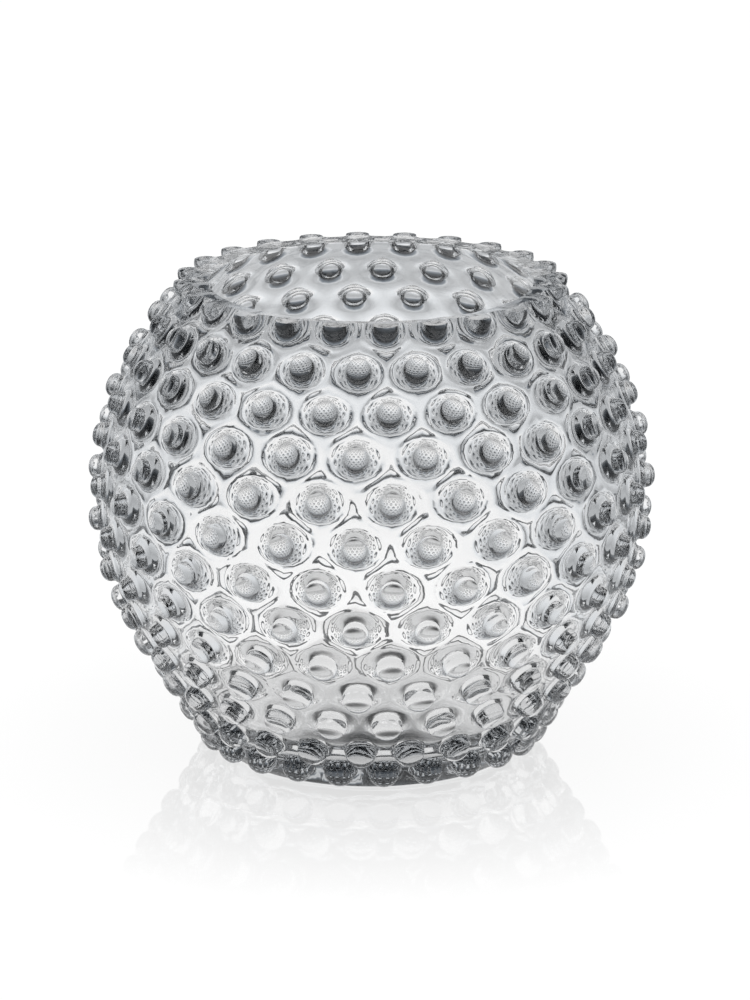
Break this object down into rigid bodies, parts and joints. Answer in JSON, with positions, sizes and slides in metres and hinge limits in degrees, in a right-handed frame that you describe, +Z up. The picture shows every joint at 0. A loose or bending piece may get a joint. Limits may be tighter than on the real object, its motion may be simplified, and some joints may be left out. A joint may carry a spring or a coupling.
{
  "type": "hobnail vase",
  "caption": "Round clear glass globe vase with a wide ground mouth, a flat base and staggered rows of rounded hobs over its whole outside.",
  "frame": {"origin": "middle of the flat base's underside, on the table", "axes": "+Z up along the vase's axis; -Y is the front, where the first, third and every odd row has a hob"},
  "size_m": [0.1988, 0.1988, 0.1692],
  "materials": {
    "glass": "clear, fire-polished, with a fine ground rim"
  },
  "bodies": {
    "root": {"vessel": "glass", "hob_row_01": "glass", "hob_row_02": "glass", "hob_row_03": "glass", "hob_row_04": "glass", "hob_row_05": "glass", "hob_row_06": "glass", "hob_row_07": "glass", "hob_row_08": "glass", "hob_row_09": "glass", "hob_row_10": "glass", "hob_row_11": "glass", "hob_row_12": "glass", "hob_row_13": "glass"}
  },
  "joints": []
}
